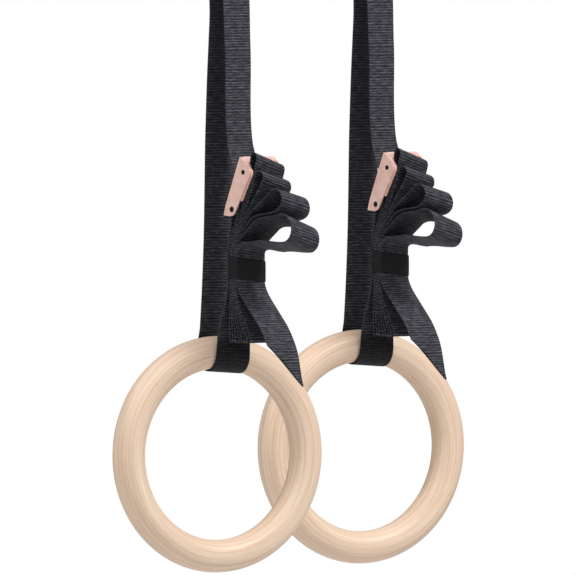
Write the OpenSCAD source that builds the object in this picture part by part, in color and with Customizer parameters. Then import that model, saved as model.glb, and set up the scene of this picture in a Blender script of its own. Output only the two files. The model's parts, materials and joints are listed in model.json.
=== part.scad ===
// A pair of wooden gymnastics rings hung from a horizontal bar on adjustable webbing straps.
// Origin: bar axis at the middle of the left strap. +X along the bar, -Y to the front, +Z up.
// All lengths in mm.

/* [Ring] */
// outside diameter of each wooden ring
ring_outer_d = 232; // [228:1:236]
// thickness of the round grip
grip_d = 32; // [28:1:32]
// how far the ring sits off the strap's centre, along its own width
ring_offset = -7; // [-7:1:0]

/* [Strap] */
// width of the webbing
strap_width = 38; // [34:1:38]
// thickness of the webbing
strap_thick = 1.2; // [1:0.1:1.2]
// from the bar axis down to the centre of the ring
bar_drop = 510; // [500:1:560]
// distance between the two straps along the bar
spacing = 255; // [255:1:500]
// diameter of the bar the straps go over
bar_d = 32; // [28:1:34]

/* [Buckle] */
// distance from the lower bar to the cam pin
buckle_length = 40; // [39:1:41]
// outward lean of the buckle from vertical
buckle_lean = 24; // [22:1:26]
// thickness of each side plate
plate_thick = 1.6; // [1.2:0.2:2]

/* [Hidden] */
$fn = 96;

birch = [0.86, 0.77, 0.65];
webbing = [0.13, 0.13, 0.15];
thread = [0.28, 0.28, 0.31];
copper = [0.72, 0.55, 0.48];
steel = [0.62, 0.62, 0.64];
elastic = [0.06, 0.06, 0.07];

grip_r = grip_d / 2;
ring_r = ring_outer_d / 2 - grip_r;         // radius of the grip's centre line
yaw_bundle = -13;                           // turn of the buckle and folds about the vertical
yaw_ring = -26;                             // turn of the ring and its sling
yaw_legs = -4;                              // turn of the upper legs

half_t = strap_thick / 2;
half_w = strap_width / 2;
gap = 0.2;                                  // left between two stretches of one strap
sling_r = 18.4;                             // inside radius of the sling under the grip
sling_lean = asin(-ring_offset / ring_r);   // the sling follows the grip's slope beside the ring's top
sling_z = ring_r * cos(sling_lean);
sling_droop = tan(sling_lean);
sling_c = sling_r + half_t;
twist_z = 400;                              // level where the hanging part can turn
saddle_end = 12;                            // degrees the saddle wraps below the bar's middle
leg_top = bar_drop - 18;

pitch = 1.24;                               // layer to layer inside the keeper
layer_0 = 29;                               // first folded layer in front of the strap's axis
tab_n = layer_0 - 2.7;
keep_lo = 163;                              // the layers are straight between these levels
keep_hi = 198;
last_layer = 8;                             // the layer that runs on as the tail
tail_top = keep_hi - 4;
droop_in = [0.34, 0.28, 0.26, 0.4];         // slope of each upper loop across the strap's width, going in
droop_out = [0.34, 0.28, 0.26, 0.28];       // and coming out
keep_droop = 0.12;
last_droop = 0.3;                           // and where the last layer leaves its loop
gate_droop = 0.14;                          // the same slope where the layers spread above the keeper

bar_n = 35.7;                               // lower bar of the buckle, ahead of the strap's axis
bar_z = 241;
tab_bar_r = 3;
pin_r = 2.5;
plate_in = half_w + 1.8;                    // inner face of a side plate
plate_out = plate_in + plate_thick;
plate_low_r = 7.5;                          // round of the side plate at the lower bar
plate_high_r = 9.6;                         // and at the cam pin
plate_corner_r = 0.9;
run = 0.05;                                 // radial running clearance on the pin
seat = 0.05;                                // radial clearance of the bars in the side plates
hold = [buckle_length - 19, -5.2];          // b and o where the cam holds the strap
hold_out = [0.588, 0.809];                  // direction in b and o from the strap to the cam's foot
foot_r = 2;
tooth_r = 0.7;
base_r = 2;

// ---------- frames ----------
// a point: w across the strap, n out to the front, z above the ring's centre
function place(yaw, w, n, z) = [w * cos(yaw) + n * sin(yaw), w * sin(yaw) - n * cos(yaw), z - bar_drop];

// buckle coordinates: b up along the side plate, o outward from the line of bar and pin
function bo(b, o) = [
    bar_n + b * sin(buckle_lean) + o * cos(buckle_lean),
    bar_z + b * cos(buckle_lean) - o * sin(buckle_lean)
];

module bundle_frame() translate([0, 0, -bar_drop]) rotate([0, 0, yaw_bundle]) children();

// children drawn in x = b, y = o and extruded along the strap's width, centred on it
module in_buckle() {
    bundle_frame()
        translate([0, -bar_n, bar_z])
            rotate([buckle_lean, 0, 0])
                rotate([0, -90, 0])
                    mirror([0, 1, 0])
                        children();
}

module slab(from, to) translate([0, 0, from]) linear_extrude(to - from) children();

module at_right() translate([spacing, 0, 0]) children();

// ---------- webbing as a ribbon ----------
// knot: [n, z, heading, droop, yaw]; heading 0 is up, 90 is forward, 180 is down
function heading(k) = [sin(k[2]), cos(k[2])];
function flat(k) = [k[0], k[1]];
function mix(a, b, t) = a + (b - a) * t;

// tangent length that keeps an even bend round where the heading turns
function turn_of(k0, k1) = abs(((k1[2] - k0[2] + 900) % 360) - 180);
function reach_of(k0, k1) =
    let (a = turn_of(k0, k1))
    norm(flat(k1) - flat(k0)) * (a < 1 ? 1 : 2 * tan(a / 4) / sin(a / 2));

function curve(k0, k1, t) =
    let (
        reach = reach_of(k0, k1),
        h1 = 2 * t * t * t - 3 * t * t + 1,
        h2 = t * t * t - 2 * t * t + t,
        h3 = -2 * t * t * t + 3 * t * t,
        h4 = t * t * t - t * t,
        p = h1 * flat(k0) + h2 * reach * heading(k0) + h3 * flat(k1) + h4 * reach * heading(k1)
    )
    [p[0], p[1], mix(k0[3], k1[3], t), mix(k0[4], k1[4], t)];

function curve_dir(k0, k1, t) =
    let (
        reach = reach_of(k0, k1),
        d = (6 * t * t - 6 * t) * (flat(k0) - flat(k1))
            + (3 * t * t - 4 * t + 1) * reach * heading(k0)
            + (3 * t * t - 2 * t) * reach * heading(k1)
    )
    d / norm(d);

function stations(knots, steps) = [
    for (i = [0 : len(knots) - 2], j = [0 : steps - (i == len(knots) - 2 ? 0 : 1)])
        [curve(knots[i], knots[i + 1], j / steps), curve_dir(knots[i], knots[i + 1], j / steps)]
];

function corner(s, w, side) =
    let (p = s[0], d = s[1], m = [d[1], -d[0]] * side * half_t)
    place(p[3], w, p[0] + m[0], p[1] + m[1] - w * p[2]);

// a closed strip through the stations; near gives the near edge's place across the width at each one
module strip(st, near) {
    points = [
        for (i = [0 : len(st) - 1])
            each [
                corner(st[i], near[i], -1), corner(st[i], half_w, -1),
                corner(st[i], half_w, 1), corner(st[i], near[i], 1)
            ]
    ];
    sides = [
        for (i = [0 : len(st) - 2], k = [0 : 3])
            let (a = 4 * i + k, b = 4 * i + (k + 1) % 4)
            each [[a, b, b + 4], [a, b + 4, a + 4]]
    ];
    last = 4 * (len(st) - 1);
    ends = [[0, 2, 1], [0, 3, 2], [last, last + 1, last + 2], [last, last + 2, last + 3]];
    polyhedron(points, concat(sides, ends), convexity = 8);
}

module ribbon(knots, steps = 6) {
    st = stations(knots, steps);
    strip(st, [for (s = st) -half_w]);
}

// ---------- folded webbing ----------
// upper loops: centre and radius of each bend, with the heading of the way in and the way out
LOOPS = [[63.3, 286.3, 4.2], [70.5, 268, 6.2], [93.3, 247.5, 10], [103.8, 217.8, 13]];
lean_in = [12, 22, 48, 76];
lean_out = [16, 34, 42, 86];
// lower folds: radius, distance apart, level of their centres and how far each points forward
fold_r = 2;
fold_step = 8.4;
fold_z = 113;
fold_n = layer_0 + 2.2;
function fold_lean(i) = 6 + 5 * i;
// each layer passes a gate above the keeper, at an angle from vertical
gate_at = [31.9, 200];
gate_r = 36;
gate_angle = [0, 20, 23.5, 27, 31, 36, 42, 49.5, 82];

function layer_n(i) = layer_0 + pitch * i;
function bundle_knot(n, z, a, droop = 0) = [n, z, a, droop, yaw_bundle];

function down_layer(i) = [
    bundle_knot(layer_n(i), keep_hi, 180, keep_droop),
    bundle_knot(layer_n(i), keep_lo, 180, keep_droop / 2)
];
function up_layer(i) = [
    bundle_knot(layer_n(i), keep_lo, 0, keep_droop / 2),
    bundle_knot(layer_n(i), keep_hi, 0, keep_droop)
];
function bottom_fold(i) =
    let (
        n = fold_n + fold_step * i,
        l = fold_lean(i),
        u = fold_r * [sin(l), -cos(l)],
        p = fold_r * [cos(l), sin(l)]
    )
    [
        bundle_knot(n - p[0], fold_z - p[1], 180 - l),
        bundle_knot(n + u[0], fold_z + u[1], 90 - l),
        bundle_knot(n + p[0], fold_z + p[1], -l)
    ];

function gate(i, turn) =
    let (a = gate_angle[i], d = i == last_layer ? last_droop : gate_droop)
    [bundle_knot(gate_at[0] + gate_r * sin(a), gate_at[1] + gate_r * cos(a), a + turn, d)];

// the i-th bend, turning from going up to going down
function top_loop(i) =
    let (
        n = LOOPS[i][0],
        z = LOOPS[i][1],
        r = LOOPS[i][2],
        a = lean_in[i],
        c = lean_out[i],
        d = droop_out[i]
    )
    [
        bundle_knot(n - r * cos(a), z + r * sin(a), a, droop_in[i]),
        bundle_knot(n + r * sin(a), z + r * cos(a), 90 + a, d),
        bundle_knot(n + r * cos(c), z - r * sin(c), 180 + c, d)
    ];

// up and back: from the top of fold i through the loop to the layer that goes down again
function fold_pair(i) = concat(
    bottom_fold(i),
    up_layer(2 * i + 1),
    gate(2 * i + 1, 0),
    i == 0 ? clear_lever : [],
    top_loop(i),
    gate(2 * i + 2, 180)
);

// the first layer up passes in front of the cam's foot
by_cam = bo(22, 9.9);
clear_lever = [bundle_knot(by_cam[0], by_cam[1], 18, droop_in[0])];

function fold_knots() = concat(
    down_layer(0),
    fold_pair(0),
    down_layer(2),
    fold_pair(1),
    down_layer(4),
    fold_pair(2),
    down_layer(6),
    fold_pair(3),
    [
        bundle_knot(layer_n(last_layer), keep_hi, 180, keep_droop),
        bundle_knot(layer_n(last_layer), tail_top, 180, keep_droop)
    ]
);

// ---------- sub-parts ----------
module ring() {
    color(birch)
        translate([0, 0, -bar_drop])
            rotate([0, 0, yaw_ring])
                translate([ring_offset, 0, 0])
                    rotate([90, 0, 0])
                        rotate_extrude()
                            translate([ring_r, 0])
                                circle(grip_r);
}

module along_bar() rotate([90, 0, 90]) children();

module strap_saddle() {
    reach = bar_d;
    color(webbing)
        along_bar()
            difference() {
                cylinder(h = strap_width, r = bar_d / 2 + strap_thick, center = true);
                cylinder(h = strap_width + 2, r = bar_d / 2, center = true);
                linear_extrude(strap_width + 2, center = true)
                    polygon([
                        [0, 0],
                        reach * [cos(saddle_end), -sin(saddle_end)],
                        [reach, -2 * reach],
                        [-reach, -2 * reach],
                        reach * [-cos(saddle_end), -sin(saddle_end)]
                    ]);
            }
}

module strap_front_upper() {
    color(webbing)
        ribbon([
            [14.4, leg_top, 181, 0, -1],
            [17.1, 445, 177, 0, yaw_legs - 5],
            [18.5, twist_z, 177, 0, yaw_legs - 3]
        ]);
}

module strap_back_upper() {
    color(webbing)
        ribbon([
            [-13.6, leg_top, 168, 0, -1],
            [-2.6, 445, 176, 0, yaw_legs],
            [-3.8, twist_z, 182, 0, yaw_legs]
        ]);
}

module strap_back_lower() {
    color(webbing)
        ribbon([
            [-3.9, twist_z - 1, 182, 0, yaw_legs],
            [-5.7, 308, 181, 0, yaw_legs - 10],
            [-7.2, 210, 182, 0, yaw_bundle - 6],
            [-13.2, 126, 187, 0, yaw_ring],
            [-sling_c, sling_z + gap, 180, sling_droop, yaw_ring]
        ]);
}

module strap_sling() {
    color(webbing)
        translate([0, 0, sling_z - bar_drop])
            rotate([0, sling_lean, yaw_ring])
                along_bar()
                    difference() {
                        cylinder(h = strap_width, r = sling_r + strap_thick, center = true);
                        cylinder(h = strap_width + 2, r = sling_r, center = true);
                        translate([-2 * sling_c, 0, -strap_width])
                            cube([4 * sling_c, 2 * sling_c, 2 * strap_width]);
                    }
}

// up the front of the grip, over the buckle's lower bar and back down behind itself
module strap_tab() {
    wrap = tab_bar_r + 0.3 + half_t;        // the strap's middle round the lower bar
    color(webbing)
        ribbon([
            [sling_c, sling_z + gap, 0, sling_droop, yaw_ring],
            [sling_c + 0.5, ring_r + 20, 8, 0, yaw_ring + 3],
            [tab_n, keep_lo, 2, 0, yaw_bundle],
            [tab_n, keep_hi, 4, 0, yaw_bundle],
            [bar_n + wrap, bar_z, 6, 0, yaw_bundle],
            [bar_n, bar_z + wrap, 270, 0, yaw_bundle],
            [bar_n - wrap, bar_z, 186, 0, yaw_bundle],
            [tab_n + 0.55, keep_hi + 11, 200, 0, yaw_bundle]
        ]);
}

// rows of raised stitches across the back of the tab's sewn end
module tab_stitching() {
    rows = 3;
    per_row = 9;
    stitch = [2.6, 0.5, 0.6];
    apart = 3.9;
    row_apart = 4;
    color(thread)
        bundle_frame()
            translate([0, 0.3 - tab_n, keep_hi + 13])
                rotate([15, 0, 0])
                    for (r = [0 : rows - 1], i = [0 : per_row - 1])
                        translate([(i - (per_row - 1) / 2) * apart - stitch[0] / 2, 0.5, r * row_apart])
                            cube(stitch);
}

// down into the buckle, between cam and base, and out over the lower bar
module strap_buckle_leg() {
    grip = bo(hold[0], hold[1]);
    color(webbing)
        ribbon([
            [18.5, twist_z - 1, 177, 0, yaw_legs - 3],
            [21, 308, 172, 0, yaw_legs - 2],
            [grip[0], grip[1], 164, 0, yaw_bundle],
            [bar_n + 5.6, bar_z - 3, 190, 0, yaw_bundle],
            [33.25, 217, 203, 0, yaw_bundle],
            [layer_0, keep_hi + gap, 180, keep_droop, yaw_bundle]
        ]);
}

module strap_folds() {
    color(webbing) ribbon(fold_knots(), 4);
}

// the loose end, cut on the slant to a point at its far edge
module strap_tail() {
    knots = [
        bundle_knot(layer_n(last_layer), tail_top - gap, 180, keep_droop),
        bundle_knot(layer_n(last_layer), keep_lo + 8, 180),
        bundle_knot(42.3, 160.5, 150),
        bundle_knot(49, 151.5, 138),
        bundle_knot(69.5, 129, 138),
        bundle_knot(82.3, 109.5, 152)
    ];
    tip = bundle_knot(94, 68, 161);
    steps = 5;                              // stations between knots, and along the slanted cut
    point = 1;                              // width left at the very tip
    cut_from = knots[len(knots) - 1];
    st = concat(
        stations(knots, steps),
        [for (j = [1 : steps]) [curve(cut_from, tip, j / steps), curve_dir(cut_from, tip, j / steps)]]
    );
    uncut = len(st) - 1 - steps;
    near = [for (i = [0 : len(st) - 1]) mix(-half_w, half_w - point, max(0, i - uncut) / steps)];
    color(webbing) strip(st, near);
}

// outline of a side plate in b and o
module plate_outline() {
    hull() {
        translate([0, -2]) circle(plate_low_r);
        translate([buckle_length, 0]) circle(plate_high_r);
        translate([-9, -7.4]) circle(plate_corner_r);
        translate([buckle_length + 11, -plate_high_r]) circle(plate_corner_r);
    }
}

module buckle_frame() {
    base = hold - (half_t + gap + base_r) * hold_out;
    into_plate = 0.2;
    color(copper)
        in_buckle() {
            for (side = [0, 1])
                mirror([0, 0, side])
                    difference() {
                        slab(plate_in, plate_out) plate_outline();
                        translate([0, 0, plate_in - 1]) cylinder(h = plate_thick + 2, r = tab_bar_r + seat);
                        translate([buckle_length, 0, plate_in - 1])
                            cylinder(h = plate_thick + 2, r = pin_r + seat);
                    }
            translate([base[0], base[1], 0])
                cylinder(h = 2 * (plate_in + into_plate), r = base_r, center = true);
        }
}

// a shaft through both side plates, hollow at each end where it is spread to hold
module hollow_shaft(r) {
    length = 2 * plate_out - 0.4;
    hollow = 3;
    wall = 0.7;
    difference() {
        cylinder(h = length, r = r, center = true);
        for (side = [0, 1])
            mirror([0, 0, side])
                translate([0, 0, length / 2 - hollow]) cylinder(h = hollow + 1, r = r - wall);
    }
}

module tab_bar() {
    color(steel) in_buckle() hollow_shaft(tab_bar_r);
}

module cam_pin() {
    color(steel) in_buckle() translate([buckle_length, 0, 0]) hollow_shaft(pin_r);
}

module lever_ear() {
    difference() {
        hull() {
            translate([buckle_length + 1, 4.2]) circle(7);
            translate([14, 7]) circle(1.8);
            translate([buckle_length + 7, 0]) circle(4.2);
        }
        translate([buckle_length, 0]) circle(pin_r + run);
    }
}

module cam_lever() {
    hub_w = 12;
    hub_r = 4.2;
    ear_in = half_w + 0.3;
    ear_out = plate_in - 0.15;
    foot = hold + (half_t + gap + tooth_r + foot_r) * hold_out;
    thumb = [buckle_length + 7, -4];
    thumb_reach = [5, -3.6];
    thumb_r = 1.2;
    color(copper)
        in_buckle() {
            for (side = [0, 1]) mirror([0, 0, side]) slab(ear_in, ear_out) lever_ear();
            difference() {
                union() {
                    slab(-hub_w, hub_w) {
                        hull() {
                            translate([buckle_length, 0]) circle(hub_r);
                            translate(foot) circle(foot_r);
                        }
                        // teeth that bite the strap
                        for (turn = [-28, 0, 28])
                            translate(foot) rotate(turn) translate(-foot_r * hold_out) circle(tooth_r);
                    }
                    slab(-hub_w, hub_w)
                        hull() {
                            translate([buckle_length, -1]) circle(3);
                            translate(thumb) circle(thumb_r);
                        }
                }
                translate([buckle_length, 0, -hub_w - 1]) cylinder(h = 2 * hub_w + 2, r = pin_r + run);
            }
            slab(-ear_out, ear_out)
                hull() {
                    translate(thumb) circle(thumb_r);
                    translate(thumb + thumb_reach) circle(thumb_r);
                }
        }
}

// coils either side of the cam's hub
module cam_spring() {
    wire = 0.7;
    coils = 4;
    color(steel)
        in_buckle()
            translate([buckle_length, 0, 0])
                for (side = [0, 1], i = [0 : coils - 1])
                    mirror([0, 0, side])
                        translate([0, 0, 13 + i * 1.5])
                            rotate_extrude() translate([pin_r + wire + 0.2, 0]) circle(wire, $fn = 24);
}

// elastic band round every folded layer
module keeper_band() {
    n_lo = layer_0 - half_t - 0.2;
    n_hi = layer_n(last_layer) + half_t + 0.2;
    wall = 0.9;
    w_in = half_w + 0.3;
    keeper_z = 171.5;                       // its lower edge
    keeper_height = 20.5;
    color(elastic)
        bundle_frame()
            multmatrix([[1, 0, 0, 0], [0, 1, 0, 0], [-keep_droop, 0, 1, 0], [0, 0, 0, 1]])
                translate([0, -(n_lo + n_hi) / 2, keeper_z])
                    linear_extrude(keeper_height)
                        difference() {
                            square([2 * (w_in + wall), n_hi - n_lo + 2 * wall], center = true);
                            square([2 * w_in, n_hi - n_lo], center = true);
                        }
}

// ---------- nodes ----------
module left_ring() ring();
module left_strap_saddle() strap_saddle();
module left_strap_front_upper() strap_front_upper();
module left_strap_back_upper() strap_back_upper();
module left_strap_back_lower() strap_back_lower();
module left_strap_sling() strap_sling();
module left_strap_tab() strap_tab();
module left_tab_stitching() tab_stitching();
module left_strap_buckle_leg() strap_buckle_leg();
module left_strap_folds() strap_folds();
module left_strap_tail() strap_tail();
module left_buckle_frame() buckle_frame();
module left_tab_bar() tab_bar();
module left_cam_pin() cam_pin();
module left_cam_lever() cam_lever();
module left_cam_spring() cam_spring();
module left_keeper_band() keeper_band();
module right_ring() at_right() ring();
module right_strap_saddle() at_right() strap_saddle();
module right_strap_front_upper() at_right() strap_front_upper();
module right_strap_back_upper() at_right() strap_back_upper();
module right_strap_back_lower() at_right() strap_back_lower();
module right_strap_sling() at_right() strap_sling();
module right_strap_tab() at_right() strap_tab();
module right_tab_stitching() at_right() tab_stitching();
module right_strap_buckle_leg() at_right() strap_buckle_leg();
module right_strap_folds() at_right() strap_folds();
module right_strap_tail() at_right() strap_tail();
module right_buckle_frame() at_right() buckle_frame();
module right_tab_bar() at_right() tab_bar();
module right_cam_pin() at_right() cam_pin();
module right_cam_lever() at_right() cam_lever();
module right_cam_spring() at_right() cam_spring();
module right_keeper_band() at_right() keeper_band();

left_ring();
left_strap_saddle();
left_strap_front_upper();
left_strap_back_upper();
left_strap_back_lower();
left_strap_sling();
left_strap_tab();
left_tab_stitching();
left_strap_buckle_leg();
left_strap_folds();
left_strap_tail();
left_buckle_frame();
left_tab_bar();
left_cam_pin();
left_cam_lever();
left_cam_spring();
left_keeper_band();
right_ring();
right_strap_saddle();
right_strap_front_upper();
right_strap_back_upper();
right_strap_back_lower();
right_strap_sling();
right_strap_tab();
right_tab_stitching();
right_strap_buckle_leg();
right_strap_folds();
right_strap_tail();
right_buckle_frame();
right_tab_bar();
right_cam_pin();
right_cam_lever();
right_cam_spring();
right_keeper_band();
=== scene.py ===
"""Gymnastics rings on cam-buckle straps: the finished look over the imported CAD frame."""

import json
import math

import bpy
import numpy as np
from mathutils import Matrix, Vector


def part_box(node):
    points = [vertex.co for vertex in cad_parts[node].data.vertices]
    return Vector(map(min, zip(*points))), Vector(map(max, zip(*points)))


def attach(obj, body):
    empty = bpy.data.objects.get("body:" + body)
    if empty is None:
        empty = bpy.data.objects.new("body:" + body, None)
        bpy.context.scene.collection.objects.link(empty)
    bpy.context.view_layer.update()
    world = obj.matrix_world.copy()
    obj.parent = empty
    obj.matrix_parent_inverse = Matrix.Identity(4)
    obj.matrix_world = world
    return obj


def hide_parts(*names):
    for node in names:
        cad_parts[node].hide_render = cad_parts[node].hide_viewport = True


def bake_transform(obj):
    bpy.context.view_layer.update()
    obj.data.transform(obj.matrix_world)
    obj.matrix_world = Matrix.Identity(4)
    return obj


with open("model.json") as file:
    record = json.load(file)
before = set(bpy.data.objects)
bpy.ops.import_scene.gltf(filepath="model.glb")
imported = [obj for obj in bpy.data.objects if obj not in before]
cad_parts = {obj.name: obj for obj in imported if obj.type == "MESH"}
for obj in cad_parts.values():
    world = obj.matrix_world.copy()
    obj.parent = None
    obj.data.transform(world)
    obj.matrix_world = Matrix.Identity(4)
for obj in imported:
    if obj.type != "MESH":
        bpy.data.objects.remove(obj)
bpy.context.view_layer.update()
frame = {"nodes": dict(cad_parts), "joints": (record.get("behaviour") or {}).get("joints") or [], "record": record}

MM = 0.001

# ---------- sizes read from the frame, in mm ----------
RECORD = frame["record"]
JOINTS = {j["name"]: j for j in frame["joints"]}
MOUNTS = {m["name"]: m for m in RECORD["mounts"]}


def in_mm(values):
    return np.array(values, float) / MM


RING_BOX = [in_mm(c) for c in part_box("left_ring")]
SADDLE_BOX = [in_mm(c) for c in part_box("left_strap_saddle")]
SPACING = (MOUNTS["right_bar_saddle"]["pos_m"][0] - MOUNTS["left_bar_saddle"]["pos_m"][0]) / MM
BAR_R = MOUNTS["left_bar_saddle"]["dims"]["r_mm"]
BAR_DROP = -(RING_BOX[0][2] + RING_BOX[1][2]) / 2
RING_OUT = (RING_BOX[1][2] - RING_BOX[0][2]) / 2
HALF_W = (SADDLE_BOX[1][0] - SADDLE_BOX[0][0]) / 2
THICK = SADDLE_BOX[1][2] - BAR_R
RING_AXIS = JOINTS["left_ring_swing"]["axis"]
PIN_AXIS = JOINTS["left_cam_release"]["axis"]
YAW_RING = math.degrees(math.atan2(RING_AXIS[1], RING_AXIS[0]))
YAW_BUNDLE = math.degrees(math.atan2(-PIN_AXIS[1], -PIN_AXIS[0]))
PIN = in_mm(JOINTS["left_cam_release"]["pos_m"])
RING_OFFSET = (RING_BOX[0][0] + RING_BOX[1][0]) / 2 / math.cos(math.radians(YAW_RING))
SLING_Z = BAR_DROP + JOINTS["left_ring_swing"]["pos_m"][2] / MM
RING_R = math.hypot(SLING_Z, RING_OFFSET)
GRIP_R = RING_OUT - RING_R
SLING_DROOP = -RING_OFFSET / SLING_Z

# ---------- shape of the strap, in mm ----------
# n is measured to the front of the bar's axis, z up from the ring's centre, w across the strap
HALF_T = THICK / 2
SLING_R = 18.4  # inner radius of the sling round the grip
SLING_C = SLING_R + HALF_T
SADDLE_C = BAR_R + HALF_T
SADDLE_END = math.radians(12.0)  # how far the saddle goes on past the bar's middle
YAW_LEGS = -4.0
LAYER_PITCH = 1.24  # distance between the folded layers inside the keeper
LAYER_0 = 29.0
LAST_LAYER = 8
TAB_N = LAYER_0 - 2.7
KEEP_LO, KEEP_HI = 163.0, 198.0  # the layers are straight between these levels
KEEP_DROOP = 0.12  # slope of the layers across the strap's width, here and below
GATE_DROOP, LAST_DROOP = 0.14, 0.3
BUCKLE_LENGTH, BUCKLE_LEAN = 40.0, math.radians(24.0)
BAR_N = math.hypot(PIN[0], PIN[1]) - BUCKLE_LENGTH * math.sin(BUCKLE_LEAN)
BAR_Z = PIN[2] + BAR_DROP - BUCKLE_LENGTH * math.cos(BUCKLE_LEAN)
TAB_BAR_R = 3.0
TAB_CLEAR = 0.3  # gap between the lower bar and the webbing round it
HOLD = (BUCKLE_LENGTH - 19.0, -5.2)  # where the cam holds the strap, along and off the buckle
CAM_CLEAR = (22.0, 9.9)  # where the first loop passes in front of the cam
LEG_TOP = BAR_DROP - 18.0
SPLIT_Z = 444.0  # the level of the twist hinge
TWIST_Z = 400.0  # the twist is spread over the strap down to here

# each upper loop: n and z of its bend, radius, lean in, lean out, droop going in, droop coming out
LOOPS = [
    (63.3, 286.3, 4.2, 12, 16, 0.34, 0.34),
    (70.5, 268.0, 6.2, 22, 34, 0.28, 0.28),
    (93.3, 247.5, 10.0, 48, 42, 0.26, 0.26),
    (103.8, 217.8, 13.0, 76, 86, 0.4, 0.28),
]
# lower folds: radius, distance apart, level, first n, first lean and the lean added by each
FOLD_R, FOLD_STEP, FOLD_Z = 2.0, 8.4, 113.0
FOLD_N = LAYER_0 + 2.2
FOLD_LEAN, FOLD_LEAN_STEP = 6, 5
# the layers fan out above the keeper, crossing an arc at these angles
GATE_AT, GATE_R = (31.9, 200.0), 36.0
GATE_ANGLE = (0, 20, 23.5, 27, 31, 36, 42, 49.5, 82)
# the tail below the keeper: n, z and heading
TAIL = [(42.3, 160.5, 150), (49, 151.5, 138), (69.5, 129, 138), (82.3, 109.5, 152), (94, 68, 161)]
TAIL_FREE = KEEP_LO + 8


# ---------- the strap's path ----------
def buckle_point(b, o):
    """The n and z of a point b along the buckle from its lower bar and o off it."""
    return (
        BAR_N + b * math.sin(BUCKLE_LEAN) + o * math.cos(BUCKLE_LEAN),
        BAR_Z + b * math.cos(BUCKLE_LEAN) - o * math.sin(BUCKLE_LEAN),
    )


def layer_n(i):
    return LAYER_0 + LAYER_PITCH * i


def knot(n, z, a, droop=0.0, yaw=YAW_BUNDLE):
    """A point of the path: a is the heading, 0 up and 90 to the front."""
    return (n, z, a, droop, yaw)


def down_layer(i):
    n = layer_n(i)
    return [knot(n, KEEP_HI, 180, KEEP_DROOP), knot(n, KEEP_LO, 180, KEEP_DROOP / 2)]


def up_layer(i):
    n = layer_n(i)
    return [knot(n, KEEP_LO, 0, KEEP_DROOP / 2), knot(n, KEEP_HI, 0, KEEP_DROOP)]


def bottom_fold(i):
    n = FOLD_N + FOLD_STEP * i
    lean = FOLD_LEAN + FOLD_LEAN_STEP * i
    a = math.radians(lean)
    along, off = FOLD_R * math.cos(a), FOLD_R * math.sin(a)
    return [
        knot(n - along, FOLD_Z - off, 180 - lean),
        knot(n + off, FOLD_Z - along, 90 - lean),
        knot(n + along, FOLD_Z + off, -lean),
    ]


def gate(i, turn):
    a = math.radians(GATE_ANGLE[i])
    n, z = GATE_AT[0] + GATE_R * math.sin(a), GATE_AT[1] + GATE_R * math.cos(a)
    return [knot(n, z, GATE_ANGLE[i] + turn, LAST_DROOP if i == LAST_LAYER else GATE_DROOP)]


def top_loop(i):
    n, z, r, lean, back, droop_in, droop = LOOPS[i]
    a, c = math.radians(lean), math.radians(back)
    return [
        knot(n - r * math.cos(a), z + r * math.sin(a), lean, droop_in),
        knot(n + r * math.sin(a), z + r * math.cos(a), 90 + lean, droop),
        knot(n + r * math.cos(c), z - r * math.sin(c), 180 + back, droop),
    ]


def curve(knots, steps=24):
    """Positions, droop and yaw along a smooth path through the knots."""
    rows = []
    for k0, k1 in zip(knots[:-1], knots[1:]):
        p0, p1 = np.array(k0[:2], float), np.array(k1[:2], float)
        turn = abs((k1[2] - k0[2] + 180) % 360 - 180)
        reach = np.linalg.norm(p1 - p0)
        if turn >= 1:
            reach *= 2 * math.tan(math.radians(turn / 4)) / math.sin(math.radians(turn / 2))
        h0, h1 = (
            np.array([math.sin(math.radians(k[2])), math.cos(math.radians(k[2]))]) * reach for k in (k0, k1)
        )
        for j in range(steps):
            t = j / steps
            t2, t3 = t * t, t * t * t
            p = (2 * t3 - 3 * t2 + 1) * p0 + (3 * t2 - 2 * t3) * p1
            p = p + (t3 - 2 * t2 + t) * h0 + (t3 - t2) * h1
            rows.append([p[0], p[1], k0[3] + (k1[3] - k0[3]) * t, k0[4] + (k1[4] - k0[4]) * t])
    k = knots[-1]
    rows.append([k[0], k[1], k[3], k[4]])
    return np.array(rows)


def resample(rows, step):
    """The same path at even steps, with the distance along it."""
    d = np.concatenate([[0], np.cumsum(np.hypot(np.diff(rows[:, 0]), np.diff(rows[:, 1])))])
    count = max(2, int(round(d[-1] / step)) + 1)
    s = np.linspace(0, d[-1], count)
    return s, np.column_stack([np.interp(s, d, rows[:, i]) for i in range(rows.shape[1])])


# ---------- webbing mesh ----------
RIB = 2.75  # distance between ribs
RIB_DEPTH = 0.2
RIB_REST = 0.6  # share of the depth that is sunk, so that the ribs stand about the CAD's surface
UNEVEN = ((0.10, 0.61, 0.0), (0.08, 0.237, 1.3))  # strength, frequency and phase of the ribs' drift
STEP = 0.46
SEAL_WIDTH = 0.9  # dark melted edge of the slanted cut
ACROSS = (-1.0, -0.985, -0.93, -0.8, -0.6, -0.4, -0.2, 0.0, 0.2, 0.4, 0.6, 0.8, 0.93, 0.985, 1.0)
EDGE_PROFILE = (0.25, 0.72, 0.98)  # share of the thickness towards the rounded selvedge
EDGE_LOOP = 0.16  # how far the weft loops stand in and out along the selvedge


def placed(name, mesh):
    mesh.polygons.foreach_set("use_smooth", [True] * len(mesh.polygons))
    obj = bpy.data.objects.new(name, mesh)
    bpy.context.scene.collection.objects.link(obj)
    return obj


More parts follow.
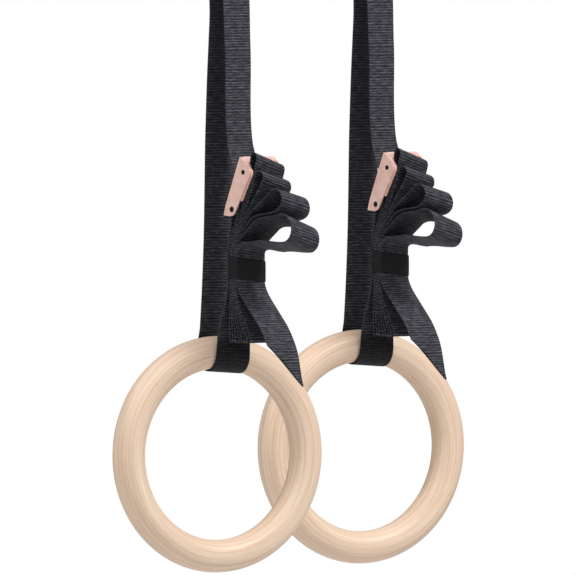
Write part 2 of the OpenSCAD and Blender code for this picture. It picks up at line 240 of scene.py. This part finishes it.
def webbing_mesh(name, rows, start=0.0, near=None, shade_at=None):
    """rows: n, z, droop, yaw. start carries the rib pattern on from the piece before;
    near(s, length) gives the near edge's w for a slanted end; the last argument, a function of z, gives a painted
    shade that darkens the colour as if the strap lay in shadow."""
    s, r = resample(rows, STEP)
    length = s[-1]
    t = np.gradient(r[:, :2], axis=0)
    t /= np.linalg.norm(t, axis=1)[:, None]
    m = np.column_stack([t[:, 1], -t[:, 0]])
    pos = s + start
    uneven = sum(a * np.sin(pos * f + p) for a, f, p in UNEVEN)
    phase = 2 * math.pi * (pos / RIB + uneven)
    rib = RIB_DEPTH * (np.abs(np.cos(phase / 2)) - RIB_REST)
    loop = [(f, 1) for f in ACROSS] + [(-f, -1) for f in ACROSS]
    rank = [min(i, len(ACROSS) - 1 - i) for i in range(len(ACROSS))] * 2
    count = len(loop)
    verts = np.zeros((len(s), count, 3))
    uvs = np.zeros((len(s), count, 2))
    seal = np.zeros((len(s), count))
    # painted shade: how strongly the colour is darkened at each point, as if in shadow
    painted_shade = np.zeros((len(s), count))
    for i in range(len(s)):
        a = math.radians(r[i, 3])
        ca, sa = math.cos(a), math.sin(a)
        lo = -HALF_W if near is None else near(s[i], length)
        mid, half = (HALF_W + lo) / 2, (HALF_W - lo) / 2
        cut = lo > -HALF_W
        for k, (f, side) in enumerate(loop):
            thick = EDGE_PROFILE[rank[k]] if rank[k] < len(EDGE_PROFILE) else 1.0
            w = mid + half * f
            if rank[k] == 0:
                w -= math.copysign(EDGE_LOOP * (0.5 + 0.5 * math.cos(phase[i])), f)
            off = (HALF_T + rib[i] * thick) * thick * side
            n = r[i, 0] + m[i, 0] * off
            z = r[i, 1] + m[i, 1] * off - w * r[i, 2]
            verts[i, k] = (w * ca + n * sa, w * sa - n * ca, z - BAR_DROP)
            uvs[i, k] = (pos[i] + RIB * uneven[i], w)
            seal[i, k] = 1.0 if cut and w - lo < SEAL_WIDTH else 0.0
            painted_shade[i, k] = 0.0 if shade_at is None else shade_at(r[i, 1])
    faces = []
    for i in range(len(s) - 1):
        for k in range(count):
            a, b = i * count + k, i * count + (k + 1) % count
            faces.append((a, a + count, b + count, b))
    faces.append(tuple(range(count)))
    faces.append(tuple(range((len(s) - 1) * count, len(s) * count))[::-1])
    mesh = bpy.data.meshes.new(name)
    mesh.from_pydata((verts.reshape(-1, 3) * MM).tolist(), [], faces)
    uv_flat = uvs.reshape(-1, 2)
    layer = mesh.uv_layers.new(name="weave")
    index = np.zeros(len(mesh.loops), int)
    mesh.loops.foreach_get("vertex_index", index)
    layer.data.foreach_set("uv", (uv_flat[index] * MM).ravel().astype(np.float32))
    for label, values in (("seal", seal), ("painted_shade", painted_shade)):
        attribute = mesh.attributes.new(label, "FLOAT", "POINT")
        attribute.data.foreach_set("value", values.ravel().astype(np.float32))
    return placed(name, mesh), start + length


def shifted(obj, x):
    obj.data.transform(Matrix.Translation((x * MM, 0, 0)))
    return obj


def arc_rows(r, a0, a1, yaw, z0, steps=60, droop=0.0):
    """Around a bar: angle 0 is the front, a quarter turn on the top, seen along the strap's width."""
    a = np.linspace(a0, a1, steps)
    return np.column_stack([r * np.cos(a), z0 + r * np.sin(a), np.full(steps, droop), np.full(steps, yaw)])


# ---------- materials ----------
def new_material(name):
    mat = bpy.data.materials.new(name)
    mat.use_nodes = True
    tree = mat.node_tree
    tree.nodes.clear()
    out = tree.nodes.new("ShaderNodeOutputMaterial")
    bsdf = tree.nodes.new("ShaderNodeBsdfPrincipled")
    tree.links.new(bsdf.outputs[0], out.inputs[0])
    return mat, tree, bsdf


def add(tree, kind, **props):
    node = tree.nodes.new(kind)
    for key, value in props.items():
        if key.startswith("in_"):
            node.inputs[key[3:].replace("_", " ")].default_value = value
        else:
            setattr(node, key, value)
    return node


def set_inputs(node, values):
    for key, value in values.items():
        node.inputs[key].default_value = value


def ramp(tree, stops):
    node = tree.nodes.new("ShaderNodeValToRGB")
    r = node.color_ramp
    while len(r.elements) < len(stops):
        r.elements.new(0.5)
    for e, (p, c) in zip(r.elements, stops):
        e.position = p
        e.color = (*c, 1)
    return node


def mix_colour(tree, blend, factor, a, b):
    node = tree.nodes.new("ShaderNodeMix")
    node.data_type = "RGBA"
    node.blend_type = blend
    node.inputs[0].default_value = factor
    tree.links.new(a, node.inputs[6])
    tree.links.new(b, node.inputs[7])
    return node.outputs[2]


WEB_STOPS = [
    (0.12, (0.0035, 0.0035, 0.0045)),
    (0.42, (0.019, 0.019, 0.024)),
    (0.62, (0.054, 0.055, 0.068)),
    (0.95, (0.15, 0.15, 0.18)),
]
SEAL_COLOUR = (0.003, 0.003, 0.004, 1)
# painted shade: this multiplies the strap's colour down round the sling, darkening it as if it lay in shadow
SLING_SHADE_COLOUR = (0.28, 0.28, 0.28, 1)  # multiplies the webbing's own colour
YARN = 1.05  # distance between warp yarns, in mm
RIB_DRIFT = 2.2  # how far the ribs wander across the strap, in mm
# these shares also set the colour: painted highlight on the raised ribs and yarns, painted shade in the grooves
# between them
RIB_SHARE, CROSS_SHARE = 0.17, 0.14


def webbing_material():
    """Black ribbed webbing over the weave coordinates, which are mm along and across the strap."""
    mat, tree, bsdf = new_material("webbing")
    link = tree.links.new
    uv = add(tree, "ShaderNodeUVMap", uv_map="weave")
    scale = add(tree, "ShaderNodeVectorMath", operation="SCALE")
    scale.inputs[3].default_value = 1 / MM
    link(uv.outputs[0], scale.inputs[0])
    sep = add(tree, "ShaderNodeSeparateXYZ")
    link(scale.outputs[0], sep.inputs[0])

    def wave(source, period, phase=0.0):
        mul = add(tree, "ShaderNodeMath", operation="MULTIPLY")
        mul.inputs[1].default_value = 2 * math.pi / period
        link(source, mul.inputs[0])
        plus = add(tree, "ShaderNodeMath", operation="ADD")
        plus.inputs[1].default_value = phase
        link(mul.outputs[0], plus.inputs[0])
        sine = add(tree, "ShaderNodeMath", operation="SINE")
        link(plus.outputs[0], sine.inputs[0])
        return sine.outputs[0]

    # noise across the strap shifts each rib a little, as weft yarns do
    drift_at = add(tree, "ShaderNodeMapping")
    drift_at.inputs["Scale"].default_value = (0.12, 0.22, 1)
    link(scale.outputs[0], drift_at.inputs[0])
    drift = add(tree, "ShaderNodeTexNoise", in_Scale=1.0, in_Detail=3.0, in_Roughness=0.55)
    link(drift_at.outputs[0], drift.inputs[0])
    along = add(tree, "ShaderNodeMath", operation="MULTIPLY_ADD")
    along.inputs[1].default_value = RIB_DRIFT
    link(drift.outputs[0], along.inputs[0])
    link(sep.outputs[0], along.inputs[2])
    rib = wave(along.outputs[0], RIB, math.pi / 2)
    yarn = wave(sep.outputs[1], YARN)
    half_rib = wave(along.outputs[0], RIB * 2)
    cross = add(tree, "ShaderNodeMath", operation="MULTIPLY")
    link(yarn, cross.inputs[0])
    link(half_rib, cross.inputs[1])
    row_at = add(tree, "ShaderNodeMapping")
    row_at.inputs["Scale"].default_value = (0.42, 0.10, 1)
    link(scale.outputs[0], row_at.inputs[0])
    noise = add(tree, "ShaderNodeTexNoise", in_Scale=1.0, in_Detail=4.0, in_Roughness=0.65)
    link(row_at.outputs[0], noise.inputs[0])
    # the colour follows the weave's height: painted highlight on the ribs, painted shade in the grooves; the noise
    # in it is the webbing's own uneven tone
    colour = ramp(tree, WEB_STOPS)
    total = add(tree, "ShaderNodeMath", operation="MULTIPLY_ADD")
    total.inputs[1].default_value = RIB_SHARE
    link(rib, total.inputs[0])
    link(noise.outputs[0], total.inputs[2])
    height = add(tree, "ShaderNodeMath", operation="MULTIPLY_ADD")
    height.inputs[1].default_value = CROSS_SHARE
    link(cross.outputs[0], height.inputs[0])
    link(total.outputs[0], height.inputs[2])
    link(height.outputs[0], colour.inputs[0])
    seal = add(tree, "ShaderNodeAttribute", attribute_name="seal")
    sealed = add(tree, "ShaderNodeMix", data_type="RGBA", blend_type="MIX")
    sealed.inputs[7].default_value = SEAL_COLOUR
    link(seal.outputs["Fac"], sealed.inputs[0])
    # painted shade: where the attribute is set, the colour is multiplied down as if the strap lay in shadow at the
    # sling
    shade_mask = add(tree, "ShaderNodeAttribute", attribute_name="painted_shade")
    shaded = add(tree, "ShaderNodeMix", data_type="RGBA", blend_type="MULTIPLY")
    shaded.inputs[7].default_value = SLING_SHADE_COLOUR
    link(shade_mask.outputs["Fac"], shaded.inputs[0])
    link(colour.outputs[0], shaded.inputs[6])
    link(shaded.outputs[2], sealed.inputs[6])
    link(sealed.outputs[2], bsdf.inputs["Base Color"])
    bump = add(tree, "ShaderNodeBump", in_Strength=0.8, in_Distance=0.0004)
    link(height.outputs[0], bump.inputs["Height"])
    link(bump.outputs[0], bsdf.inputs["Normal"])
    set_inputs(bsdf, {
        "Roughness": 0.62,
        "Specular IOR Level": 0.14,
        "Sheen Weight": 0.06,
        "Sheen Roughness": 0.4,
        "Sheen Tint": (0.85, 0.88, 1.0, 1),
    })
    return mat


def elastic_material():
    """Fine black elastic with ribs across the band."""
    mat, tree, bsdf = new_material("elastic")
    link = tree.links.new
    coord = add(tree, "ShaderNodeTexCoord")
    wave = add(tree, "ShaderNodeTexWave", wave_type="BANDS", bands_direction="Z")
    set_inputs(wave, {"Scale": 260.0, "Distortion": 0.6})
    link(coord.outputs["Object"], wave.inputs[0])
    noise = add(tree, "ShaderNodeTexNoise", in_Scale=900.0, in_Detail=3.0)
    link(coord.outputs["Object"], noise.inputs[0])
    colour = ramp(tree, [(0.3, (0.008, 0.008, 0.009)), (0.8, (0.022, 0.022, 0.024))])
    link(noise.outputs[0], colour.inputs[0])
    link(colour.outputs[0], bsdf.inputs["Base Color"])
    bump = add(tree, "ShaderNodeBump", in_Strength=0.25, in_Distance=0.0002)
    link(wave.outputs[1], bump.inputs["Height"])
    link(bump.outputs[0], bsdf.inputs["Normal"])
    set_inputs(bsdf, {"Roughness": 0.5, "Specular IOR Level": 0.1})
    return mat


def metal_material(name, base, dark, roughness, metallic=1.0):
    """Clouded metal with a fine brushed grain along its length."""
    mat, tree, bsdf = new_material(name)
    link = tree.links.new
    coord = add(tree, "ShaderNodeTexCoord")
    stretch = add(tree, "ShaderNodeMapping")
    stretch.inputs["Scale"].default_value = (900, 900, 90)
    link(coord.outputs["Object"], stretch.inputs[0])
    grain = add(tree, "ShaderNodeTexNoise", in_Scale=1.0, in_Detail=5.0)
    link(stretch.outputs[0], grain.inputs[0])
    cloud = add(tree, "ShaderNodeTexNoise", in_Scale=120.0, in_Detail=3.0)
    link(coord.outputs["Object"], cloud.inputs[0])
    colour = ramp(tree, [(0.3, dark), (0.7, base)])
    link(cloud.outputs[0], colour.inputs[0])
    link(colour.outputs[0], bsdf.inputs["Base Color"])
    rough = add(tree, "ShaderNodeMapRange")
    set_inputs(rough, {"To Min": roughness - 0.07, "To Max": roughness + 0.1})
    link(grain.outputs[0], rough.inputs[0])
    link(rough.outputs[0], bsdf.inputs["Roughness"])
    bump = add(tree, "ShaderNodeBump", in_Strength=0.06, in_Distance=0.0001)
    link(grain.outputs[0], bump.inputs["Height"])
    link(bump.outputs[0], bsdf.inputs["Normal"])
    bsdf.inputs["Metallic"].default_value = metallic
    return mat


WOOD_STOPS = [(0.25, (0.68, 0.47, 0.33)), (0.5, (0.80, 0.61, 0.46)), (0.78, (0.88, 0.73, 0.59))]


def wood_material():
    """Bent laminations: attribute grain holds (along the ring, outward, through) in mm."""
    mat, tree, bsdf = new_material("birch")
    link = tree.links.new
    grain = add(tree, "ShaderNodeAttribute", attribute_name="grain")

    def stretched(scale):
        m = add(tree, "ShaderNodeMapping")
        m.inputs["Scale"].default_value = scale
        link(grain.outputs["Vector"], m.inputs[0])
        return m.outputs[0]

    fibre = add(tree, "ShaderNodeTexNoise", in_Scale=1.0, in_Detail=6.0, in_Roughness=0.6)
    link(stretched((0.02, 1.5, 1.5)), fibre.inputs[0])
    streak = add(tree, "ShaderNodeTexNoise", in_Scale=1.0, in_Detail=4.0, in_Roughness=0.55)
    link(stretched((0.006, 0.42, 0.42)), streak.inputs[0])
    flecks = add(tree, "ShaderNodeTexNoise", in_Scale=1.0, in_Detail=2.0)
    link(stretched((0.12, 3.2, 3.2)), flecks.inputs[0])
    base = ramp(tree, WOOD_STOPS)
    link(streak.outputs[0], base.inputs[0])
    fine = ramp(tree, [(0.3, (0.80, 0.72, 0.64)), (0.6, (1.0, 1.0, 1.0))])
    link(fibre.outputs[0], fine.inputs[0])
    dots = ramp(tree, [(0.28, (0.72, 0.60, 0.50)), (0.40, (1.0, 1.0, 1.0))])
    link(flecks.outputs[0], dots.inputs[0])
    first = mix_colour(tree, "MULTIPLY", 0.75, base.outputs[0], fine.outputs[0])
    second = mix_colour(tree, "MULTIPLY", 0.45, first, dots.outputs[0])
    link(second, bsdf.inputs["Base Color"])
    bump = add(tree, "ShaderNodeBump", in_Strength=0.12, in_Distance=0.0003)
    link(fibre.outputs[0], bump.inputs["Height"])
    link(bump.outputs[0], bsdf.inputs["Normal"])
    set_inputs(bsdf, {"Roughness": 0.5, "Coat Weight": 0.12, "Coat Roughness": 0.35})
    return mat


def thread_material():
    """Dark sewing thread."""
    mat, tree, bsdf = new_material("thread")
    link = tree.links.new
    coord = add(tree, "ShaderNodeTexCoord")
    noise = add(tree, "ShaderNodeTexNoise", in_Scale=2500.0, in_Detail=2.0)
    link(coord.outputs["Object"], noise.inputs[0])
    colour = ramp(tree, [(0.3, (0.02, 0.02, 0.025)), (0.7, (0.07, 0.07, 0.08))])
    link(noise.outputs[0], colour.inputs[0])
    link(colour.outputs[0], bsdf.inputs["Base Color"])
    bsdf.inputs["Roughness"].default_value = 0.8
    return mat


WEBBING = webbing_material()
ELASTIC = elastic_material()
COPPER = metal_material(
    "rose_metal", base=(0.94, 0.64, 0.56), dark=(0.80, 0.51, 0.43), roughness=0.42, metallic=0.35
)
STEEL = metal_material("steel", base=(0.24, 0.23, 0.23), dark=(0.13, 0.13, 0.13), roughness=0.38)
BIRCH = wood_material()
THREAD = thread_material()
CAD_MATERIALS = {
    "buckle_frame": COPPER,
    "cam_lever": COPPER,
    "tab_bar": STEEL,
    "cam_pin": STEEL,
    "cam_spring": STEEL,
    "tab_stitching": THREAD,
}
BEVELLED = ("buckle_frame", "cam_lever")
BEVEL, BEVEL_ABOVE = 0.3, math.radians(40)  # width, and the least angle of a bevelled edge


def paint(obj, mat):
    obj.data.materials.clear()
    obj.data.materials.append(mat)


# ---------- pieces ----------
RING_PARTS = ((512, 96))


def ring_piece(name, x):
    """The wooden ring, with its grain direction kept as an attribute."""
    around, tube = RING_PARTS
    u = np.linspace(0, 2 * math.pi, around, endpoint=False)
    v = np.linspace(0, 2 * math.pi, tube, endpoint=False)
    uu, vv = np.meshgrid(u, v, indexing="ij")
    rad = RING_R + GRIP_R * np.cos(vv)
    w = RING_OFFSET + rad * np.sin(uu)
    z = rad * np.cos(uu)
    n = GRIP_R * np.sin(vv)
    a = math.radians(YAW_RING)
    across, behind = w * math.cos(a) + n * math.sin(a), w * math.sin(a) - n * math.cos(a)
    co = np.stack([across + x, behind, z - BAR_DROP], -1)
    i = np.arange(around)[:, None]
    j = np.arange(tube)[None, :]
    i2, j2 = (i + 1) % around, (j + 1) % tube
    quads = np.stack([i * tube + j, i * tube + j2, i2 * tube + j2, i2 * tube + j], -1).reshape(-1, 4)
    mesh = bpy.data.meshes.new(name)
    mesh.from_pydata((co.reshape(-1, 3) * MM).tolist(), [], quads.tolist())
    grain = np.stack([RING_R * uu, rad, n], -1)
    attribute = mesh.attributes.new("grain", "FLOAT_VECTOR", "POINT")
    attribute.data.foreach_set("vector", (grain.reshape(-1, 3) + x).ravel().astype(np.float32))
    return placed(name, mesh)


def leg_rows(knots, z_high, z_low):
    """The part of a leg between two levels, cut exactly at both so that pieces meet."""
    rows = curve(knots)
    between = (rows[:, 1] < z_high - 0.01) & (rows[:, 1] > z_low + 0.01)
    levels = np.concatenate([[z_high], rows[between, 1], [z_low]])
    up = rows[::-1]
    return np.column_stack([levels if i == 1 else np.interp(levels, up[:, 1], up[:, i]) for i in range(4)])


FRONT_AT_TWIST = knot(18.5, TWIST_Z, 177, 0, YAW_LEGS - 3)
BACK_AT_TWIST = knot(-3.8, TWIST_Z, 182, 0, YAW_LEGS)
SADDLE_N, SADDLE_Z = SADDLE_C * math.cos(SADDLE_END), BAR_DROP - SADDLE_C * math.sin(SADDLE_END)


def front_leg_knots():
    return [
        knot(SADDLE_N, SADDLE_Z, 180 + math.degrees(SADDLE_END), 0, 0),
        knot(14.4, LEG_TOP, 181, 0, -1),
        knot(17.1, SPLIT_Z + 1, 177, 0, YAW_LEGS - 5),
        FRONT_AT_TWIST,
    ]


def back_leg_knots():
    return [
        knot(-SADDLE_N, SADDLE_Z, 180 - math.degrees(SADDLE_END), 0, 0),
        knot(-13.6, LEG_TOP, 168, 0, -1),
        knot(-2.6, SPLIT_Z + 1, 176, 0, YAW_LEGS),
        BACK_AT_TWIST,
    ]


def front_run_knots():
    """Front leg through the buckle, to and fro through the keeper, and out as the tail."""
    knots = [
        FRONT_AT_TWIST,
        knot(21.0, 308, 172, 0, YAW_LEGS - 2),
        knot(*buckle_point(*HOLD), 164),
        knot(BAR_N + 5.6, BAR_Z - 3, 190),
        knot(33.25, 217, 203),
    ]
    for i in range(len(LOOPS)):
        knots += down_layer(2 * i) + bottom_fold(i) + up_layer(2 * i + 1) + gate(2 * i + 1, 0)
        if i == 0:
            knots += [knot(*buckle_point(*CAM_CLEAR), 18, LOOPS[0][5])]
        knots += top_loop(i) + gate(2 * i + 2, 180)
    knots += [
        knot(layer_n(LAST_LAYER), KEEP_HI, 180, KEEP_DROOP),
        knot(layer_n(LAST_LAYER), TAIL_FREE, 180),
    ]
    return knots + [knot(*point) for point in TAIL]


# the elastic keeper
KEEPER_MID = 181.75
KEEPER_HEIGHT, KEEPER_WALL = 20.5, 0.9
KEEPER_GAP = (0.3, 0.2)  # inside the band, across the strap and through the layers
KEEPER_CORNER, CORNER_PARTS = 1.6, 8
KEEPER_ROWS = 25
KEEPER_STEP = 0.55
KEEPER_GROOVE, GROOVE_EVERY = 0.22, 3
# the tail's slanted cut, and the stretch above the sling over which the painted shade fades in
CUT_LENGTH, TIP_WIDTH = 42.0, 1.0
SHADE_ABOVE, SHADE_FADE = 22.0, 14.0


def tail_cut(s, length):
    """The near edge's w, which runs across to the far edge along the slanted end."""
    share = (s - (length - CUT_LENGTH)) / CUT_LENGTH
    return -HALF_W if share <= 0 else -HALF_W + min(share, 1.0) * (2 * HALF_W - TIP_WIDTH)


def loop_rows():
    """Back leg down to the ring, round under the grip, up to the buckle's bar and back behind itself."""
    wrap = TAB_BAR_R + TAB_CLEAR + HALF_T
    back = curve([
        BACK_AT_TWIST,
        knot(-5.7, 308, 181, 0, YAW_LEGS - 10),
        knot(-7.2, 210, 182, 0, YAW_BUNDLE - 6),
        knot(-13.2, 126, 187, 0, YAW_RING),
        knot(-SLING_C, SLING_Z, 180, SLING_DROOP, YAW_RING),
    ])
    under = arc_rows(SLING_C, math.pi, 2 * math.pi, YAW_RING, SLING_Z, droop=SLING_DROOP)
    tab = curve([
        knot(SLING_C, SLING_Z, 0, SLING_DROOP, YAW_RING),
        knot(SLING_C + 0.5, RING_R + 20, 8, 0, YAW_RING + 3),
        knot(TAB_N, KEEP_LO, 2),
        knot(TAB_N, KEEP_HI, 4),
        knot(BAR_N + wrap, BAR_Z, 6),
        knot(BAR_N, BAR_Z + wrap, 270),
        knot(BAR_N - wrap, BAR_Z, 186),
        knot(TAB_N + 0.55, KEEP_HI + 11, 200),
    ])
    return np.vstack([back, under[1:-1], tab])


def painted_sling_shade(z):
    """Painted shade: 0 away from the ring, 1 at the sling round the grip, where the strap is darkened as if it lay
    in shadow.
    """
    return min(1.0, max(0.0, (SLING_Z + SHADE_ABOVE - z) / SHADE_FADE))


def keeper_piece(name, x):
    """Elastic band: a rounded loop with soft edges, leaning with the folded layers."""
    n_lo = LAYER_0 - HALF_T - KEEPER_GAP[1]
    n_hi = layer_n(LAST_LAYER) + HALF_T + KEEPER_GAP[1]
    mid, half_n = (n_lo + n_hi) / 2, (n_hi - n_lo) / 2
    cw, cn = HALF_W + KEEPER_GAP[0] - KEEPER_CORNER, half_n - KEEPER_CORNER
    outline = []
    for cx, cy, first in ((cw, cn, 0), (-cw, cn, 90), (-cw, -cn, 180), (cw, -cn, 270)):
        for i in range(CORNER_PARTS + 1):
            a = math.radians(first + i * 90 / CORNER_PARTS)
            ca, sa = math.cos(a), math.sin(a)
            outline.append((cx + KEEPER_CORNER * ca, cy + KEEPER_CORNER * sa, ca, sa))
    dense = []
    for p, q in zip(outline, outline[1:] + outline[:1]):
        gap = math.hypot(q[0] - p[0], q[1] - p[1])
        parts = max(1, int(gap / KEEPER_STEP))
        for i in range(parts):
            f = i / parts
            dense.append([p[k] + (q[k] - p[k]) * f for k in range(4)])
    profile = []
    for i in range(KEEPER_ROWS):
        f = i / (KEEPER_ROWS - 1)
        bulge = 0.75 + 0.25 * math.sin(math.pi * f) ** 0.5
        profile.append(((f - 0.5) * KEEPER_HEIGHT, KEEPER_WALL * bulge))
    ring = profile + [(z, 0.0) for z, _ in reversed(profile)]
    verts, faces = [], []
    count = len(ring)
    a = math.radians(YAW_BUNDLE)
    for index, (w, n, nw, nn) in enumerate(dense):
        groove = KEEPER_GROOVE if index % GROOVE_EVERY == 0 else 0.0
        for z, o in ring:
            out = o - groove if o > 0 else o
            ww, nnn = w + nw * out, mid + n + nn * out
            zz = KEEPER_MID + z - ww * KEEP_DROOP
            verts.append((
                (ww * math.cos(a) + nnn * math.sin(a) + x) * MM,
                (ww * math.sin(a) - nnn * math.cos(a)) * MM,
                (zz - BAR_DROP) * MM,
            ))
    total = len(dense)
    for i in range(total):
        for k in range(count):
            faces.append((
                i * count + k,
                ((i + 1) % total) * count + k,
                ((i + 1) % total) * count + (k + 1) % count,
                i * count + (k + 1) % count,
            ))
    mesh = bpy.data.meshes.new(name)
    mesh.from_pydata(verts, [], faces)
    return placed(name, mesh)


def build_side(side, x):
    """One hanging set at x: each strap piece rides its body, except the legs' pieces from the saddle down through
    the twist hinge, which are baked in place with no body.
    """
    hanger, upper, lower = f"{side}_hanger", f"{side}_upper_strap", f"{side}_lower_strap"

    over_bar = arc_rows(SADDLE_C, -SADDLE_END, math.pi + SADDLE_END, 0, BAR_DROP)
    obj, saddle_end = webbing_mesh(f"{side}_web_saddle", over_bar)
    paint(shifted(obj, x), WEBBING)
    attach(obj, hanger)
    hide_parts(f"{side}_strap_saddle")

    ends = {}
    for label, knots, start in (("front", front_leg_knots(), 0.0), ("back", back_leg_knots(), saddle_end)):
        obj, end = webbing_mesh(f"{side}_web_{label}_top", leg_rows(knots, SADDLE_Z, SPLIT_Z), start)
        paint(shifted(obj, x), WEBBING)
        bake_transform(obj)
        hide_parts(f"{side}_strap_{label}_upper")
        obj, ends[label] = webbing_mesh(f"{side}_web_{label}_turn", leg_rows(knots, SPLIT_Z, TWIST_Z), end)
        paint(shifted(obj, x), WEBBING)
        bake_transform(obj)

    obj, _ = webbing_mesh(f"{side}_web_run", curve(front_run_knots()), ends["front"], near=tail_cut)
    paint(shifted(obj, x), WEBBING)
    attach(obj, lower)
    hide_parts(f"{side}_strap_buckle_leg", f"{side}_strap_folds", f"{side}_strap_tail")

    # the sling and the strap just above it get a painted shade, darkened as if in shadow
    obj, _ = webbing_mesh(f"{side}_web_loop", loop_rows(), ends["back"], shade_at=painted_sling_shade)
    paint(shifted(obj, x), WEBBING)
    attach(obj, lower)
    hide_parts(f"{side}_strap_back_lower", f"{side}_strap_sling", f"{side}_strap_tab")

    obj = keeper_piece(f"{side}_keeper", x)
    paint(obj, ELASTIC)
    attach(obj, lower)
    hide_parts(f"{side}_keeper_band")

    obj = ring_piece(f"{side}_wood_ring", x)
    paint(obj, BIRCH)
    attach(obj, f"{side}_grip")
    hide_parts(f"{side}_ring")

    for part, mat in CAD_MATERIALS.items():
        node = frame["nodes"][f"{side}_{part}"]
        node.data.materials.clear()
        node.data.materials.append(mat)
        if part in BEVELLED:
            bevel = node.modifiers.new("edge", "BEVEL")
            bevel.width = BEVEL * MM
            bevel.segments = 3
            bevel.limit_method = "ANGLE"
            bevel.angle_limit = BEVEL_ABOVE
            bevel.harden_normals = True


build_side("left", 0.0)
build_side("right", SPACING)

# ---------- camera, light and floor ----------
AZ, EL = -56.25, 1.6
DISTANCE = 19.5
FRAME_MM = 563.7  # width of the view at the target
SENSOR = 36.0
AIM_RIGHT, AIM_UP = 62.8, 163.4  # the target, from the left ring's centre
CLIP_END = 100.0

az, el = math.radians(AZ), math.radians(EL)
right = Vector((math.cos(az), math.sin(az), 0))
forward = Vector((-math.sin(az) * math.cos(el), math.cos(az) * math.cos(el), -math.sin(el)))
target = right * (AIM_RIGHT * MM) + Vector((0, 0, (AIM_UP - BAR_DROP) * MM))
camera = bpy.data.objects.new("camera", bpy.data.cameras.new("camera"))
bpy.context.scene.collection.objects.link(camera)
camera.data.sensor_width = SENSOR
camera.data.lens = SENSOR * DISTANCE / (FRAME_MM * MM)
camera.data.clip_end = CLIP_END
camera.location = target - forward * DISTANCE
camera.rotation_euler = forward.to_track_quat("-Z", "Y").to_euler()
bpy.context.scene.camera = camera

FLOOR_Z, FLOOR_SIZE = -1.3, 6.0
bpy.ops.mesh.primitive_plane_add(size=FLOOR_SIZE, location=(0.1, 0, FLOOR_Z))
floor = bpy.context.object
floor.name = "floor"
floor_mat, floor_tree, floor_bsdf = new_material("floor")
floor_noise = add(floor_tree, "ShaderNodeTexNoise", in_Scale=3.0)
floor_ramp = ramp(floor_tree, [(0.0, (0.74, 0.74, 0.74)), (1.0, (0.78, 0.78, 0.78))])
floor_tree.links.new(floor_noise.outputs[0], floor_ramp.inputs[0])
floor_tree.links.new(floor_ramp.outputs[0], floor_bsdf.inputs["Base Color"])
floor_bsdf.inputs["Roughness"].default_value = 0.8
floor.data.materials.append(floor_mat)

# soft studio surround: brighter from above and in front, plain white behind the object
AMBIENT_LOW, AMBIENT_HIGH = 0.02, 0.77
AMBIENT_FROM = right * 0.12 - forward * 0.62 + Vector((0, 0, 0.75))
world = bpy.data.worlds.new("world")
bpy.context.scene.world = world
world.use_nodes = True
sky = world.node_tree
background = sky.nodes["Background"]
background.inputs[0].default_value = (1, 1, 1, 1)
rays = sky.nodes.new("ShaderNodeLightPath")
where = sky.nodes.new("ShaderNodeTexCoord")
facing = sky.nodes.new("ShaderNodeVectorMath")
facing.operation = "DOT_PRODUCT"
facing.inputs[1].default_value = AMBIENT_FROM.normalized()
sky.links.new(where.outputs["Generated"], facing.inputs[0])
soft = sky.nodes.new("ShaderNodeMapRange")
set_inputs(soft, {"From Min": -0.9, "From Max": 1.0, "To Min": AMBIENT_LOW, "To Max": AMBIENT_HIGH})
sky.links.new(facing.outputs["Value"], soft.inputs["Value"])
strength = sky.nodes.new("ShaderNodeMix")
strength.inputs[3].default_value = 1.0
sky.links.new(rays.outputs["Is Camera Ray"], strength.inputs[0])
sky.links.new(soft.outputs["Result"], strength.inputs[2])
sky.links.new(strength.outputs[0], background.inputs[1])


def area(name, offset, size, power):
    light = bpy.data.objects.new(name, bpy.data.lights.new(name, "AREA"))
    light.data.size = size
    light.data.energy = power
    light.location = target + offset
    light.rotation_euler = (-offset).to_track_quat("-Z", "Y").to_euler()
    bpy.context.scene.collection.objects.link(light)


area("key", right * 1.4 - forward * 0.7 + Vector((0, 0, 1.7)), 0.6, 40)
area("fill", -right * 1.5 - forward * 0.9 + Vector((0, 0, 1.3)), 1.2, 18)

bpy.context.scene.view_settings.view_transform = "Standard"
